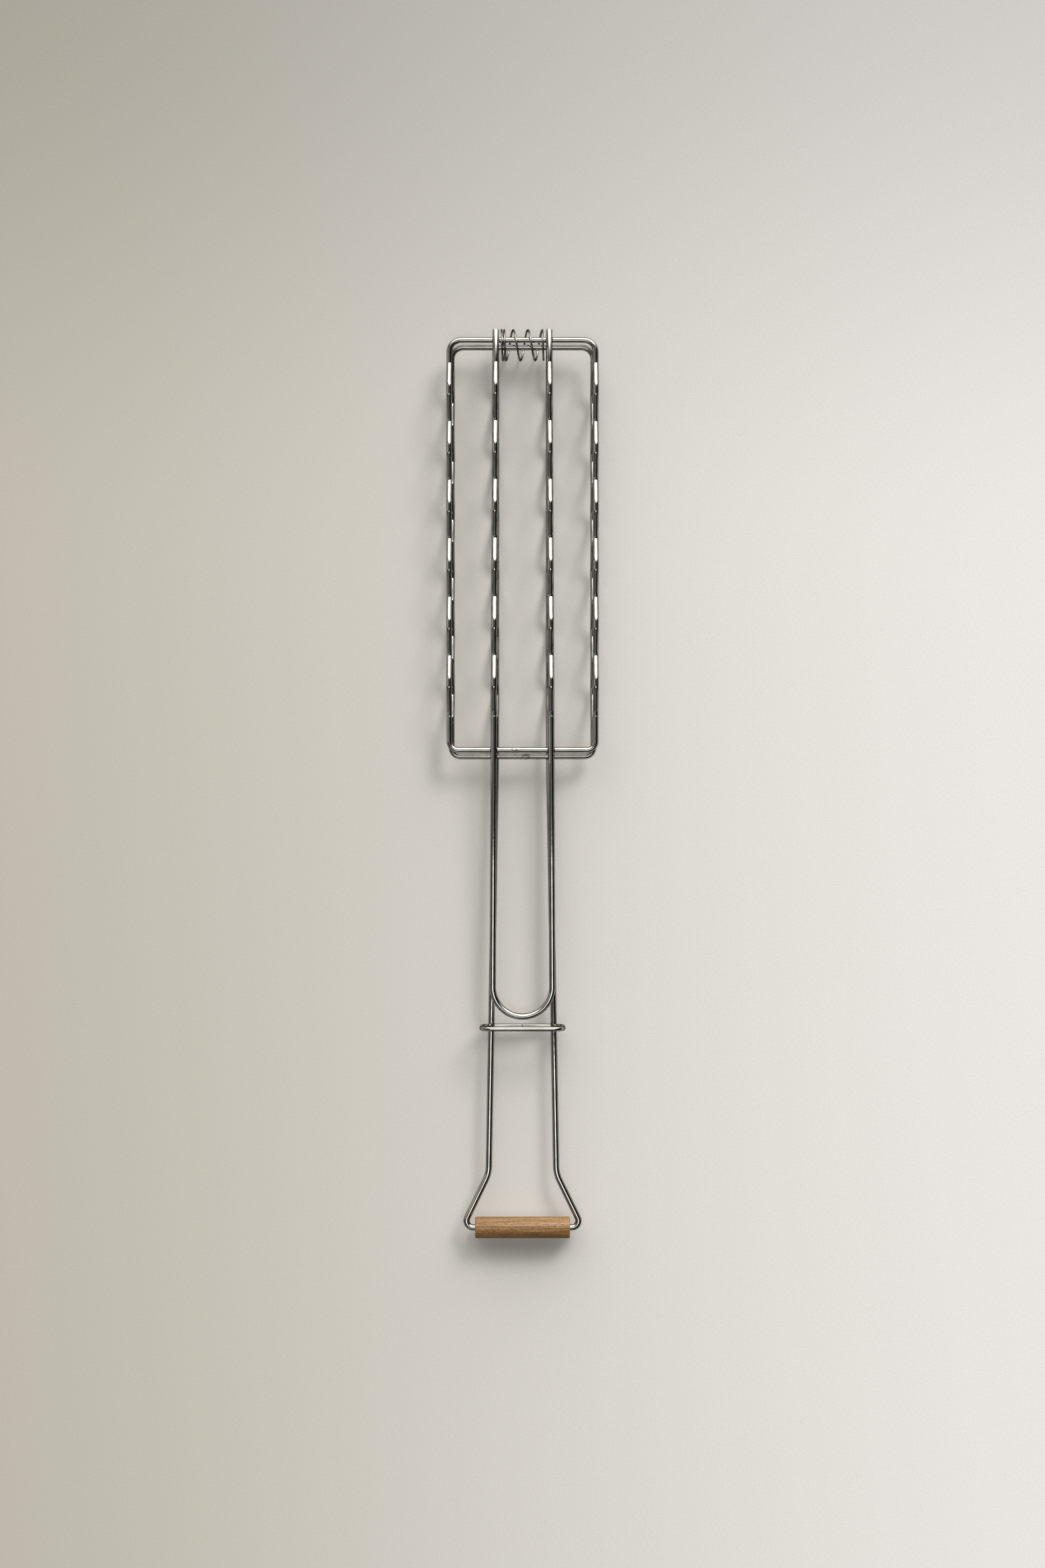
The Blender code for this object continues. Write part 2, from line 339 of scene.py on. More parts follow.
@dataclass(frozen=True)
class TurnedBeech:
    """Beech dowel, turned, sanded and oiled: warm tan with close grain along it and short dark flecks."""

    name: str = "oiled_turned_beech"
    pale: str = "#b38c5b"
    tan: str = "#936a38"
    brown: str = "#6c4a21"
    fleck: str = "#452f19"
    tone_span: tuple[float, float, float] = (0.3, 0.5, 0.72)
    grain_width: float = 1.1 * MM
    grain_length: float = 34 * MM
    grain_detail: float = 6.0
    grain_rough: float = 0.6
    grain_warp: float = 0.4
    fleck_width: float = 0.3 * MM
    fleck_length: float = 1.8 * MM
    fleck_detail: float = 2.0
    fleck_span: tuple[float, float] = (0.52, 0.64)
    fleck_cover: float = 0.8
    pore_depth: float = 0.06 * MM
    pore_strength: float = 0.5
    polish: tuple[float, float] = (0.62, 0.42)
    polish_span: tuple[float, float] = (0.3, 0.7)
    sheen: float = 0.6

    def material(self) -> bpy.types.Material:
        """Builds the material.

        Returns:
            The material.
        """
        material, tree, shader = new_material(self.name)
        grain_place = self._stretched(tree, self.grain_length, self.grain_width)
        grain = mottle(tree, grain_place, 1.0, self.grain_detail, self.grain_rough, self.grain_warp)
        tones = [linear(self.brown), linear(self.tan), linear(self.pale)]
        tone = ramp(tree, grain, list(zip(self.tone_span, tones)))
        fleck_place = self._stretched(tree, self.fleck_length, self.fleck_width)
        specks = mottle(tree, fleck_place, 1.0, self.fleck_detail)
        mask = between(tree, specks, self.fleck_span, (0.0, self.fleck_cover))
        over = {"data_type": "RGBA", 7: linear(self.fleck)}
        mixed = add_node(tree, "Mix", over, {0: mask, 6: tone}).outputs[2]
        feed(
            shader,
            {"Specular IOR Level": self.sheen},
            {
                "Base Color": mixed,
                "Roughness": between(tree, grain, self.polish_span, self.polish),
                "Normal": relief(tree, specks, self.pore_depth, self.pore_strength, sunk=True),
            },
        )
        return material

    @staticmethod
    def _stretched(tree: Tree, length: float, width: float) -> Socket:
        """Counts places in lengths along the dowel and in widths across it.

        Args:
            tree: The node tree.
            length: Length of one feature.
            width: Its width.

        Returns:
            The stretched coordinates.
        """
        place = add_node(tree, "TexCoord").outputs["Object"]
        scale = {"Scale": (1 / length, 1 / width, 1 / width)}
        return add_node(tree, "Mapping", scale, {"Vector": place}).outputs[0]


@dataclass(frozen=True)
class MattePaper:
    """Studio paper, matte with a faint tooth, with painted light falloff in its colour: darker warm grey at
    the left, paler at the right, and painted shade that dulls it far off.
    """

    name: str = "studio_paper_with_painted_falloff"
    # Painted light falloff: left and right grade the paper's colour from darker warm grey to paler across
    # X.
    left: str = "#b9b4a8"
    right: str = "#e6e3e0"
    painted_falloff_half_span: float = 400 * MM
    # Painted shade: this level darkens the paper far off towards the hinge end.
    painted_far_shade_level: float = 0.72
    painted_far_shade_span: tuple[float, float] = (120 * MM, 540 * MM)
    tooth: float = 1.0 * MM
    tooth_detail: float = 3.0
    tooth_span: tuple[float, float] = (0.35, 0.65)
    tooth_tone: tuple[float, float] = (0.94, 1.0)
    polish: float = 0.9
    sheen: float = 0.2

    def material(self) -> bpy.types.Material:
        """Builds the material.

        Returns:
            The material.
        """
        material, tree, shader = new_material(self.name)
        place = add_node(tree, "TexCoord").outputs["Object"]
        spot = add_node(tree, "SeparateXYZ", None, {"Vector": place})
        # Painted light falloff across X, from the left colour to the right one.
        across = (-self.painted_falloff_half_span, self.painted_falloff_half_span)
        share = between(tree, spot.outputs["X"], across, smooth=True)
        painted_falloff = ramp(tree, share, ((0.0, linear(self.left)), (1.0, linear(self.right))))
        # Painted shade that darkens the paper far off along +Y.
        painted_far_shade = between(tree, spot.outputs["Y"], self.painted_far_shade_span, (1.0, self.painted_far_shade_level), smooth=True)
        grit = mottle(tree, place, self.tooth, self.tooth_detail)
        tooth = between(tree, grit, self.tooth_span, self.tooth_tone)
        times = {"operation": "MULTIPLY"}
        tone = add_node(tree, "Math", times, {0: tooth, 1: painted_far_shade}).outputs["Value"]
        tint = add_node(tree, "VectorMath", times, {0: painted_falloff, 1: tone}).outputs["Vector"]
        feed(shader, {"Roughness": self.polish, "Specular IOR Level": self.sheen}, {"Base Color": tint})
        return material


@dataclass(frozen=True)
class Finishes:
    """The materials, built once."""

    wire: bpy.types.Material
    spring: bpy.types.Material
    weld: bpy.types.Material
    wood: bpy.types.Material
    paper: bpy.types.Material

    @classmethod
    def build(cls) -> "Finishes":
        """Builds every finish of the basket and its floor.

        Returns:
            The finishes.
        """
        spring = PlatedWire(
            name="bright_spring_steel",
            light="#8d8a84",
            bloom="#716e68",
            polish=(0.12, 0.22),
        )
        return cls(
            wire=PlatedWire().material(),
            spring=spring.material(),
            weld=WeldScale().material(),
            wood=TurnedBeech().material(),
            paper=MattePaper().material(),
        )


@dataclass(frozen=True)
class Sizes:
    """Driving sizes of the basket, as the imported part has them."""

    loop_wire: float = 3.5 * MM
    bar_wire: float = 3.8 * MM
    ring_wire: float = 2.9 * MM
    spring_wire: float = 1.2 * MM
    seat_gap: float = 0.3 * MM
    wave_count: int = 6
    wave_pitch: float = 35.05 * MM
    wave_depth: float = 8 * MM
    crest_run: float = 6 * MM
    valley_run: float = 2.4 * MM
    crest_radius: float = 6 * MM
    valley_radius: float = 2.8 * MM
    upper_half_width: float = 43.8 * MM
    lower_half_width: float = 42.6 * MM
    hinge_corner_radius: float = 7 * MM
    neck_corner_radius: float = 5.2 * MM
    hinge_lead: float = 14.32 * MM
    neck_lead: float = 23.4 * MM
    lower_shift: float = 3.8 * MM
    hinge_bar_offset: float = 16 * MM
    upper_neck_bar_offset: float = 17.2 * MM
    lower_neck_bar_offset: float = 16 * MM
    upper_tip: float = 5.8 * MM
    lower_tip: float = 2.35 * MM
    handle_break: float = 4 * MM
    u_length: float = 156.2 * MM
    u_offset: float = 18 * MM
    long_length: float = 283.2 * MM
    flare_length: float = 32.4 * MM
    flare_offset: float = 20.3 * MM
    flare_radius: float = 20 * MM
    hook_reach: float = 7.6 * MM
    hook_radius: float = 4 * MM
    break_radius: float = 30 * MM
    grip_length: float = 57 * MM
    grip_diameter: float = 12.8 * MM
    grip_ease: float = 0.9 * MM
    grip_bore: float = 2.45 * MM
    grip_floor_gap: float = 6 * MM
    ring_side_gap: float = 3 * MM
    ring_clearance: float = 0.8 * MM
    ring_corner_radius: float = 6 * MM
    ring_neck_place: float = 6.8 * MM
    ring_park_gap: float = 4.5 * MM
    spring_radius: float = 9 * MM
    spring_side_gap: float = 0.7 * MM
    spring_drop: float = 2.2 * MM
    spring_left_turns: float = 1.5
    spring_right_turns: float = 0.5
    spring_end_pitch: float = 1.6 * MM
    spring_active_turns: float = 2.5
    spring_points: int = 10
    facets: int = 8

    @property
    def slope_run(self) -> float:
        """Length along Y of one slope of a wave."""
        return (self.wave_pitch - self.crest_run - self.valley_run) / 2

    @property
    def loop_length(self) -> float:
        """Distance between a loop's two crossbars."""
        return self.hinge_lead + self.wave_count * self.wave_pitch - self.valley_run + self.neck_lead

    @property
    def hinge_y(self) -> float:
        """Place of the upper hinge crossbar, with the whole length centred on the origin.

        Returns:
            Its y.
        """
        above = max(self.spring_radius + self.spring_wire / 2 - self.spring_drop, self.upper_tip)
        below = self.loop_length + self.lower_shift + self.long_length + self.grip_diameter / 2
        return (below - above) / 2

    @property
    def upper_neck_y(self) -> float:
        """Place of the upper neck crossbar."""
        return self.hinge_y - self.loop_length

    @property
    def lower_neck_y(self) -> float:
        """Place of the lower neck crossbar."""
        return self.upper_neck_y - self.lower_shift

    @property
    def break_y(self) -> float:
        """Where the bars leave the basket and become handles."""
        return self.lower_neck_y - self.handle_break

    @property
    def u_y(self) -> float:
        """End of the U handle."""
        return self.lower_neck_y - self.u_length

    @property
    def grip_y(self) -> float:
        """Axis of the grip."""
        return self.lower_neck_y - self.long_length

    @property
    def flare_y(self) -> float:
        """Where the long handle flares out."""
        return self.grip_y + self.flare_length

    @property
    def ring_y(self) -> float:
        """Rest place of the ring, just past the U handle."""
        return self.u_y - self.bar_wire / 2 - self.ring_park_gap

    @property
    def lower_bar_z(self) -> float:
        """Axis height of the lower bars."""
        return self.wave_depth + self.bar_wire / 2

    @property
    def lower_loop_z(self) -> float:
        """Axis height of the lower loop."""
        return self.lower_bar_z + (self.bar_wire + self.loop_wire) / 2 + self.seat_gap

    @property
    def upper_loop_z(self) -> float:
        """Axis height of the upper loop."""
        return self.lower_loop_z + self.loop_wire + self.seat_gap

    @property
    def upper_bar_z(self) -> float:
        """Axis height of the upper bars."""
        return self.upper_loop_z + (self.bar_wire + self.loop_wire) / 2 + self.seat_gap

    @property
    def grip_z(self) -> float:
        """Axis height of the grip."""
        return self.grip_diameter / 2 + self.grip_floor_gap

    def lower_handle_z(self, y: float) -> float:
        """Axis height of the long handle at y."""
        fall = (self.break_y - y) / (self.break_y - self.grip_y)
        return self.lower_bar_z + (self.grip_z - self.lower_bar_z) * fall

    def upper_handle_z(self, y: float) -> float:
        """Axis height of the U handle at y."""
        end = self.lower_handle_z(self.u_y) + self.bar_wire + self.seat_gap
        return self.upper_bar_z + (end - self.upper_bar_z) * (self.break_y - y) / (self.break_y - self.u_y)

    def upper_bar_offset(self, y: float) -> float:
        """Distance of the upper bars from the middle at y."""
        share = (self.hinge_y - y) / self.loop_length
        return self.hinge_bar_offset + (self.upper_neck_bar_offset - self.hinge_bar_offset) * share

    def lower_bar_offset(self, y: float) -> float:
        """Distance of the lower bars from the middle at y."""
        share = (self.hinge_y - y) / (self.hinge_y - self.lower_neck_y)
        return self.hinge_bar_offset + (self.lower_neck_bar_offset - self.hinge_bar_offset) * share

    def long_handle_offset(self, y: float) -> float:
        """Distance of the long handle from the middle at y, between the neck and the flare."""
        share = (self.lower_neck_y - y) / (self.lower_neck_y - self.flare_y)
        return self.lower_neck_bar_offset + (self.flare_offset - self.lower_neck_bar_offset) * share


@dataclass
class WireMark:
    """A place along a wire where it swells or is pinched.

    Attributes:
        at: Point near the mark.
        reach: Half of its length along the wire.
        factor: Radius there, as a share of the wire's own.
    """

    at: Vector
    reach: float
    factor: float


@dataclass
class Bender:
    """Bends wires from corners, in fine steps."""

    sizes: Sizes
    arc_step: float = radians(4.0)
    straight_turn: float = radians(1.0)
    same_point: float = 0.002 * MM
    section_detail: int = 6
    section_smooth: float = radians(40.0)
    mark_steps: int = 8
    end_chamfer: float = 0.45 * MM
    end_radius: float = 0.8

    def rounded(self, corners: Sequence[Corner], closed: bool = False) -> list[Vector]:
        """Turns each corner of a path into an arc.

        Args:
            corners: Corner points with their bend radii.
            closed: Whether the path runs back to its start.

        Returns:
            The points along the path.
        """
        points: list[Vector] = []
        last = len(corners) - 1
        for i, (corner, radius) in enumerate(corners):
            if not closed and i in (0, last):
                points.append(corner)
                continue
            ahead = (corner - corners[i - 1][0]).normalized()
            onward = (corners[(i + 1) % len(corners)][0] - corner).normalized()
            turn = ahead.angle(onward)
            if radius == 0.0 or turn < self.straight_turn:
                points.append(corner)
                continue
            inward = (onward - ahead * ahead.dot(onward)).normalized()
            centre = corner - ahead * radius * tan(turn / 2) + inward * radius
            steps = ceil(turn / self.arc_step)
            for k in range(steps + 1):
                angle = turn * k / steps
                point = centre + (ahead * sin(angle) - inward * cos(angle)) * radius
                if not points or (point - points[-1]).length > self.same_point:
                    points.append(point)
        return points

    def waves(
        self,
        first_y: float,
        offset_at: Callable[[float], float],
        base_z: float,
        rise: float,
    ) -> list[Corner]:
        """Corners of one wire's waves, from the hinge end to the neck end.

        Args:
            first_y: Where the first slope starts.
            offset_at: Distance from the middle at a given y.
            base_z: Axis height between the waves.
            rise: Height of the waves, negative for the lower grid.

        Returns:
            The corners with their bend radii.
        """
        s = self.sizes
        corners: list[Corner] = []
        for i in range(s.wave_count):
            start = first_y - i * s.wave_pitch
            crest = start - s.slope_run
            profile = (
                (start, base_z, s.valley_radius),
                (crest, base_z + rise, s.crest_radius),
                (crest - s.crest_run, base_z + rise, s.crest_radius),
                (crest - s.crest_run - s.slope_run, base_z, s.valley_radius),
            )
            corners += [(Vector((offset_at(y), y, z)), radius) for y, z, radius in profile]
        return corners

    @staticmethod
    def mirrored(corners: Sequence[Corner]) -> list[Corner]:
        """The same corners on the other side, in the opposite order."""
        return [(Vector((-p.x, p.y, p.z)), radius) for p, radius in reversed(corners)]

    def bend(
        self,
        name: str,
        points: Sequence[Vector],
        diameter: float,
        closed: bool = False,
        marks: Sequence[WireMark] = (),
    ) -> Piece:
        """Makes a round wire along points, as a mesh.

        Args:
            name: The piece's name.
            points: Points along the wire's axis.
            diameter: The wire's diameter.
            closed: Whether the wire is a ring.
            marks: Swellings and pinches along it.

        Returns:
            The finished mesh object, at the origin.
        """
        path = [(p, 1.0) for p in points]
        for mark in marks:
            path = self._marked(path, mark)
        if not closed:
            path = self._chamfered(path)
        bpy.ops.object.select_all(action="DESELECT")
        bpy.ops.curve.primitive_nurbs_path_add(location=(0.0, 0.0, 0.0))
        wire = bpy.context.object
        wire.name = name
        curve = wire.data
        curve.splines.clear()
        curve.bevel_depth = diameter / 2
        curve.bevel_resolution = self.section_detail
        curve.use_fill_caps = not closed
        spline = curve.splines.new("POLY")
        spline.points.add(len(path) - 1)
        spline.use_cyclic_u = closed
        for slot, (point, factor) in zip(spline.points, path):
            slot.co = (*point, 1.0)
            slot.radius = factor
        bpy.ops.object.convert(target="MESH")
        bpy.ops.object.shade_smooth_by_angle(angle=self.section_smooth)
        wire.data.name = name
        return wire

    def _marked(self, path: Sequence[Station], mark: WireMark) -> list[Station]:
        """Adds a mark's points to the straight stretch nearest to it.

        Args:
            path: The wire's points, with their share of its radius.
            mark: The swelling or pinch.

        Returns:
            The longer path.
        """
        spans = [(path[i][0], path[i + 1][0]) for i in range(len(path) - 1)]
        nearest = min(range(len(spans)), key=lambda i: self._distance(*spans[i], mark.at))
        a, b = spans[nearest]
        ahead = (b - a).normalized()
        middle = a + ahead * (mark.at - a).dot(ahead)
        added = []
        for k in range(-self.mark_steps, self.mark_steps + 1):
            share = k / self.mark_steps
            swell = 1.0 + (mark.factor - 1.0) * (0.5 + 0.5 * cos(pi * share))
            added.append((middle + ahead * mark.reach * share, swell))
        return [*path[: nearest + 1], *added, *path[nearest + 1 :]]

    @staticmethod
    def _distance(a: Vector, b: Vector, point: Vector) -> float:
        """Distance from a point to a stretch of wire.

        Args:
            a: Start of the stretch.
            b: End of the stretch.
            point: The point.

        Returns:
            The distance.
        """
        along = max(0.0, min(1.0, (point - a).dot(b - a) / (b - a).length_squared))
        return (a.lerp(b, along) - point).length

    def _chamfered(self, path: Sequence[Station]) -> list[Station]:
        """Eases both cut ends of a wire.

        Args:
            path: The wire's points, with their share of its radius.

        Returns:
            The path with thinner ends.
        """
        first = (path[1][0] - path[0][0]).normalized() * self.end_chamfer
        last = (path[-2][0] - path[-1][0]).normalized() * self.end_chamfer
        start = [(path[0][0], self.end_radius), (path[0][0] + first, 1.0)]
        end = [(path[-1][0] + last, 1.0), (path[-1][0], self.end_radius)]
        return [*start, *path[1:-1], *end]


def dress(
    piece: Piece,
    finish: bpy.types.Material,
    body: Body,
    slot: Slot,
    *nodes: str,
) -> None:
    """Gives a piece its finish and body, and hides the CAD nodes that it stands for.

    Args:
        piece: The finished mesh.
        finish: Its material.
        body: The body that it moves with.
        slot: Not used; the record's slot for its finish.
        *nodes: CAD nodes that it replaces.
    """
    piece.data.materials.clear()
    piece.data.materials.append(finish)
    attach(piece, body.value)
    if nodes:
        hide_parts(*nodes)


@dataclass
class Welder:
    """Makes the spot welds where wires cross and the butt welds that close the loops."""

    sizes: Sizes
    finish: bpy.types.Material
    spot_reach: float = 0.42 * MM
    spot_height: float = 1.2 * MM
    spot_rough: float = 0.28 * MM
    spot_grain: float = 1.1 * MM
    spot_detail: int = 4
    collar_length: float = 5.2 * MM
    collar_proud: float = 0.12 * MM
    collar_sunk: float = 0.05 * MM
    collar_grain: float = 0.66 * MM
    collar_level: float = 1.15
    collar_rough: float = 0.9
    collar_sides: int = 40
    collar_cuts: int = 9
    collar_smooth: float = radians(60.0)
    skin_share: float = 0.8

    def spot(self, name: str, at: Vector, body: Body) -> Piece:
        """A squashed nugget of metal between two crossing wires.

        Args:
            name: The piece's name.
            at: Middle of the weld.
            body: The body that it moves with.

        Returns:
            The nugget.
        """
        s = self.sizes
        bpy.ops.object.select_all(action="DESELECT")
        bpy.ops.mesh.primitive_ico_sphere_add(subdivisions=self.spot_detail, radius=1.0)
        nugget = bpy.context.object
        nugget.name = name
        half_bar = s.bar_wire / 2 + self.spot_reach
        half_loop = s.loop_wire / 2 + self.spot_reach
        spread = Vector((half_bar, half_loop, self.spot_height))
        for vertex in nugget.data.vertices:
            way = vertex.co.normalized()
            place = Vector([way[i] * spread[i] for i in range(3)])
            lump = noise.noise((place + at) / self.spot_grain)
            vertex.co = at + place + way * lump * self.spot_rough
        bpy.ops.object.shade_smooth()
        dress(nugget, self.finish, body, Slot.WIRE)
        return nugget

    def collar(self, name: str, at: Vector, body: Body) -> Piece:
        """The upset bead of a butt weld on a wire that runs along X.

        Args:
            name: The piece's name.
            at: Middle of the weld, on the wire's axis.
            body: The body that it moves with.

        Returns:
            The bead.
        """
        radius = self.sizes.loop_wire / 2
        bpy.ops.object.select_all(action="DESELECT")
        bpy.ops.mesh.primitive_cylinder_add(
            vertices=self.collar_sides,
            radius=radius,
            depth=self.collar_length,
            rotation=(0.0, pi / 2, 0.0),
        )
        bead = bpy.context.object
        bead.name = name
        bpy.ops.object.transform_apply(location=True, rotation=True, scale=True)
        bpy.ops.object.mode_set(mode="EDIT")
        bpy.ops.mesh.select_all(action="SELECT")
        bpy.ops.mesh.subdivide(number_cuts=self.collar_cuts)
        bpy.ops.object.mode_set(mode="OBJECT")
        half = self.collar_length / 2
        sunk_radius = radius - self.collar_sunk
        rise = self.collar_proud + self.collar_sunk
        for vertex in bead.data.vertices:
            x, y, z = vertex.co
            out = Vector((0.0, y, z))
            if out.length > self.skin_share * radius:
                share = cos(pi / 2 * min(1.0, abs(x) / half))
                lump = noise.noise((vertex.co + at) / self.collar_grain)
                swell = share * (self.collar_level + self.collar_rough * lump)
                out = out.normalized() * (sunk_radius + rise * swell)
            vertex.co = at + Vector((x, out.y, out.z))
        bpy.ops.object.shade_smooth_by_angle(angle=self.collar_smooth)
        dress(bead, self.finish, body, Slot.WIRE)
        return bead


@dataclass
class Grid:
    """One half of the basket: a waved loop, a waved handle wire and their welds."""

    sizes: Sizes
    bender: Bender
    welder: Welder
    finishes: Finishes
    nick_reach: float = 0.4 * MM
    nick_pinch: float = 0.96
    nick_from_wave: float = 3 * MM

    def loop(
        self, name: str, half_width: float, hinge_y: float, z: float, rise: float, nick_y: float
    ) -> Piece:
        """The closed rectangle of wire with waved sides.

        Args:
            name: The piece's name.
            half_width: Middle of the basket to the side's axis.
            hinge_y: Place of its hinge crossbar.
            z: Axis height of its crossbars.
            rise: Height of its waves.
            nick_y: Where the bending tool pinched its sides.

        Returns:
            The loop.
        """
        s = self.sizes
        side = [
            (Vector((half_width, hinge_y, z)), s.hinge_corner_radius),
            *self.bender.waves(hinge_y - s.hinge_lead, lambda y: half_width, z, rise),
            (Vector((half_width, hinge_y - s.loop_length, z)), s.neck_corner_radius),
        ]
        points = self.bender.rounded(side + self.bender.mirrored(side), closed=True)
        marks = self.nicks(half_width, nick_y, z)
        return self.bender.bend(name, points, s.loop_wire, closed=True, marks=marks)

    def nicks(self, x: float, y: float, z: float) -> list[WireMark]:
        """The bending tool's pinch on both sides of the middle."""
        return [WireMark(Vector((sign * x, y, z)), self.nick_reach, self.nick_pinch) for sign in (1, -1)]

    def welds(
        self,
        prefix: str,
        body: Body,
        offset_at: Callable[[float], float],
        crossbars: dict[str, float],
        weld_z: float,
        butt: Vector,
    ) -> list[Piece]:
        """Makes the spot welds on both crossbars and the butt weld.

        Args:
            prefix: Start of the pieces' names.
            body: The body that the welds move with.
            offset_at: Distance of the bars from the middle at a given y.
            crossbars: Names of the crossbars to their y.
            weld_z: Height between the crossbars and the bars.
            butt: Middle of the butt weld.

        Returns:
            The nuggets and the bead.
        """
        spots = [
            self.welder.spot(f"{prefix}_{end}_weld_{side}", Vector((sign * offset_at(y), y, weld_z)), body)
            for end, y in crossbars.items()
            for side, sign in (("right", 1), ("left", -1))
        ]
        return [*spots, self.welder.collar(f"{prefix}_butt_weld", butt, body)]


@dataclass
class UpperGrid(Grid):
    """The upper half, with the short U handle."""

    butt_x: float = -4.5 * MM

    def build(self) -> list[Piece]:
        """Builds and dresses the upper loop, its handle wire and its welds.

        Returns:
            The pieces.
        """
        s = self.sizes
        z = s.upper_loop_z
        nick_y = s.upper_neck_y + s.neck_lead - self.nick_from_wave
        loop = self.loop("upper_wave_loop", s.upper_half_width, s.hinge_y, z, s.wave_depth, nick_y)
        dress(loop, self.finishes.wire, Body.UPPER, Slot.WIRE, "upper_loop")
        tip_y = s.hinge_y + s.upper_tip
        offset = s.upper_bar_offset
        neck_break = Vector((offset(s.break_y), s.break_y, s.upper_bar_z))
        u_corner = Vector((s.u_offset, s.u_y, s.upper_handle_z(s.u_y)))
        # The two bends of the U take up its whole width, so that they meet in the middle.
        u_radius = s.u_offset / tan((u_corner - neck_break).angle(Vector((-1.0, 0.0, 0.0))) / 2)
        half = [
            (Vector((offset(tip_y), tip_y, s.upper_bar_z)), 0.0),
            *self.bender.waves(s.hinge_y - s.hinge_lead, offset, s.upper_bar_z, s.wave_depth),
            (neck_break, s.break_radius),
            (u_corner, u_radius),
        ]
        points = self.bender.rounded(half + self.bender.mirrored(half))
        marks = self.nicks(offset(nick_y), nick_y, s.upper_bar_z)
        wire = self.bender.bend("upper_u_wire", points, s.bar_wire, marks=marks)
        dress(wire, self.finishes.wire, Body.UPPER, Slot.WIRE, "upper_handle_wire")
        weld_z = z + (s.loop_wire + s.seat_gap) / 2
        crossbars = {"hinge": s.hinge_y, "neck": s.upper_neck_y}
        butt = Vector((self.butt_x, s.upper_neck_y, z))
        return [loop, wire, *self.welds("upper", Body.UPPER, offset, crossbars, weld_z, butt)]


@dataclass
class LowerGrid(Grid):
    """The lower half, with the long handle that runs through the grip."""

    butt_x: float = 1.9 * MM
    dent_y: float = -105.4 * MM

    def build(self) -> list[Piece]:
        """Builds and dresses the lower loop, its handle wire and its welds.

        Returns:
            The pieces.
        """
        s = self.sizes
        z = s.lower_loop_z
        hinge_y = s.hinge_y - s.lower_shift
        nick_y = s.lower_neck_y + s.neck_lead - self.nick_from_wave
        loop = self.loop("lower_wave_loop", s.lower_half_width, hinge_y, z, -s.wave_depth, nick_y)
        dress(loop, self.finishes.wire, Body.LOWER, Slot.WIRE, "lower_loop")
        tip_y = hinge_y + s.lower_tip
        offset = s.lower_bar_offset
        half = [
            (Vector((offset(tip_y), tip_y, s.lower_bar_z)), 0.0),
            *self.bender.waves(hinge_y - s.hinge_lead, offset, s.lower_bar_z, -s.wave_depth),
            (Vector((s.long_handle_offset(s.break_y), s.break_y, s.lower_bar_z)), s.break_radius),
            (Vector((s.flare_offset, s.flare_y, s.lower_handle_z(s.flare_y))), s.flare_radius),
            (Vector((s.grip_length / 2 + s.hook_reach, s.grip_y, s.grip_z)), s.hook_radius),
        ]
        points = self.bender.rounded(half + self.bender.mirrored(half))
        dent_z = s.lower_handle_z(self.dent_y)
        dent_at = Vector((s.long_handle_offset(self.dent_y), self.dent_y, dent_z))
        dent = WireMark(dent_at, self.nick_reach, self.nick_pinch)
        marks = [*self.nicks(offset(nick_y), nick_y, s.lower_bar_z), dent]
        wire = self.bender.bend("long_handle_wire", points, s.bar_wire, marks=marks)
        dress(wire, self.finishes.wire, Body.LOWER, Slot.WIRE, "lower_handle_wire")
        weld_z = z - (s.loop_wire + s.seat_gap) / 2
        crossbars = {"hinge": hinge_y, "neck": s.lower_neck_y}
        butt = Vector((self.butt_x, s.lower_neck_y, z))
        return [loop, wire, *self.welds("lower", Body.LOWER, offset, crossbars, weld_z, butt)]


@dataclass
class HingeSpring:
    """The open coil round both hinge crossbars."""

    sizes: Sizes
    bender: Bender
    finishes: Finishes
    points_per_turn: int = 60

    def build(self) -> list[Piece]:
        """Builds and dresses the coil.

        Returns:
            The coil alone.
        """
        s = self.sizes
        inner = s.spring_radius * cos(pi / s.spring_points) - s.spring_wire / 2
        hang = inner - s.loop_wire / 2 / cos(pi / s.facets) - s.seat_gap
        centre_y = s.hinge_y - s.spring_drop
        centre_z = s.upper_loop_z - sqrt(hang**2 - s.spring_drop**2)
        turns = s.spring_left_turns + s.spring_active_turns + s.spring_right_turns
        count = round(turns * self.points_per_turn)
        points = []
        for i in range(count + 1):
            turn = turns * i / count
            angle = 2 * pi * turn
            y = centre_y + s.spring_radius * cos(angle)
            z = centre_z + s.spring_radius * sin(angle)
            points.append(Vector((self._along(turn, turns), y, z)))
        coil = self.bender.bend("hinge_coil", points, s.spring_wire)
        dress(coil, self.finishes.spring, Body.LOWER, Slot.SPRING, "hinge_spring")
        return [coil]

    def _along(self, turn: float, turns: float) -> float:
        """Place along X after a number of turns.

        Args:
            turn: Turns from the left end.
            turns: Turns in the whole coil.

        Returns:
            The x of the coil's axis point.
        """
        s = self.sizes
        edge = s.hinge_bar_offset - s.bar_wire / 2 / cos(pi / s.facets)
        half_length = edge - s.spring_side_gap - s.spring_wire / 2
        left_end = -half_length + s.spring_left_turns * s.spring_end_pitch
        right_end = half_length - s.spring_right_turns * s.spring_end_pitch
        if turn <= s.spring_left_turns:
            return -half_length + turn * s.spring_end_pitch
        if turn >= turns - s.spring_right_turns:
            return half_length - (turns - turn) * s.spring_end_pitch
        share = (turn - s.spring_left_turns) / s.spring_active_turns
        return left_end + (right_end - left_end) * share


